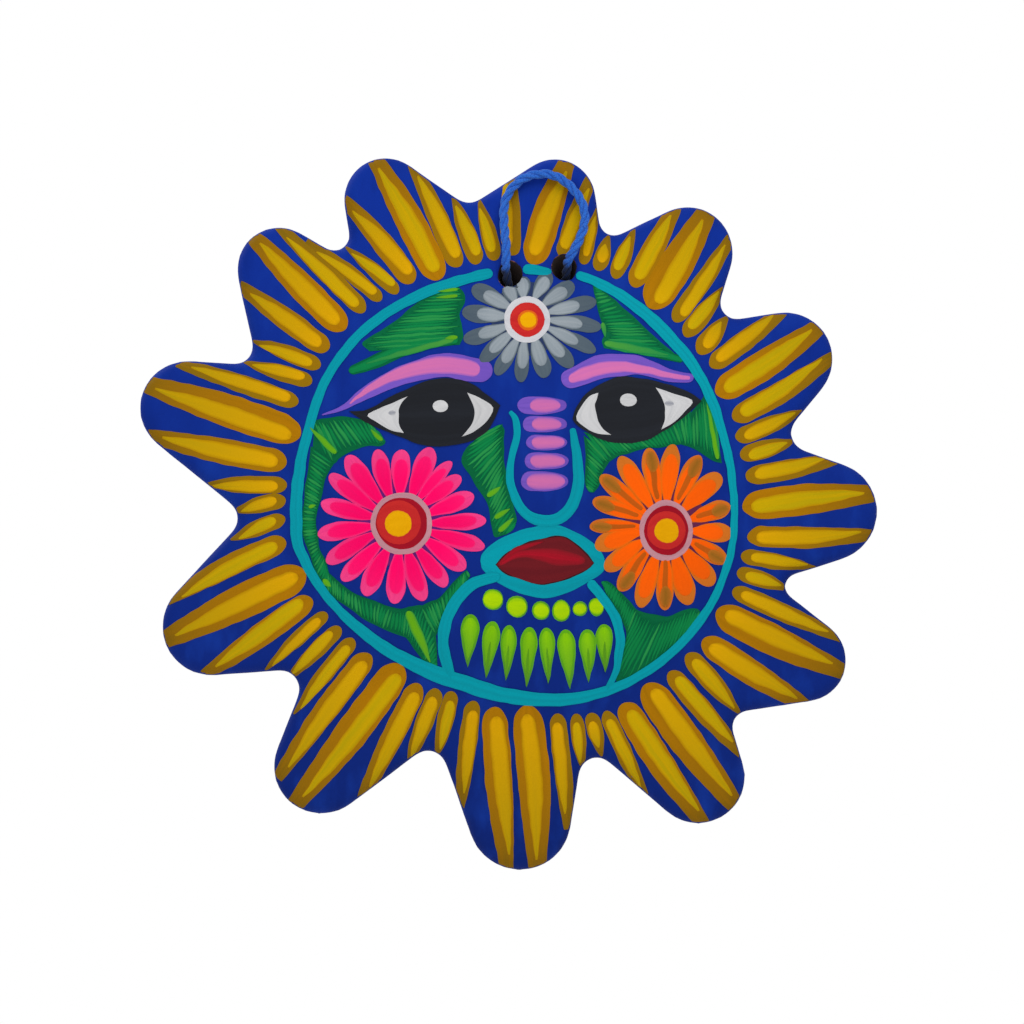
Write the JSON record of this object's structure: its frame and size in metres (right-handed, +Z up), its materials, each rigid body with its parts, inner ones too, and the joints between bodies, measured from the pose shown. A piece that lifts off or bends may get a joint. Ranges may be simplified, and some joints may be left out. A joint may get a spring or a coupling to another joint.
{
  "type": "ceramic sun wall plaque",
  "caption": "Round clay sun plaque with a domed, painted face and wavy hand-cut rays, hung from a nail by a short tied cord through holes in its forehead.",
  "frame": {"origin": "on the wall, behind the middle of the face", "axes": "+X to the right seen from the front, +Z up, front of the face towards -Y, wall at Y = 0"},
  "size_m": [0.2011, 0.0215, 0.1942],
  "materials": {
    "painted_clay": "matte hand-painted earthenware, bare terracotta on the back",
    "cord": "twisted three-strand cord"
  },
  "bodies": {
    "plaque": {"sun_plaque": "painted_clay", "cord_leg_left": "cord", "cord_leg_right": "cord", "tie_knot": "cord", "cord_tail_left": "cord", "cord_tail_right": "cord"},
    "hanger": {"hanger_loop": "cord"}
  },
  "joints": [
    {"name": "hanger_tilt", "type": "hinge", "parent": "plaque", "child": "hanger", "pos_m": [-0.0031, -0.0138, 0.0602], "axis": [0.9934, 0, 0.1148], "range_deg": [0, 110]}
  ]
}
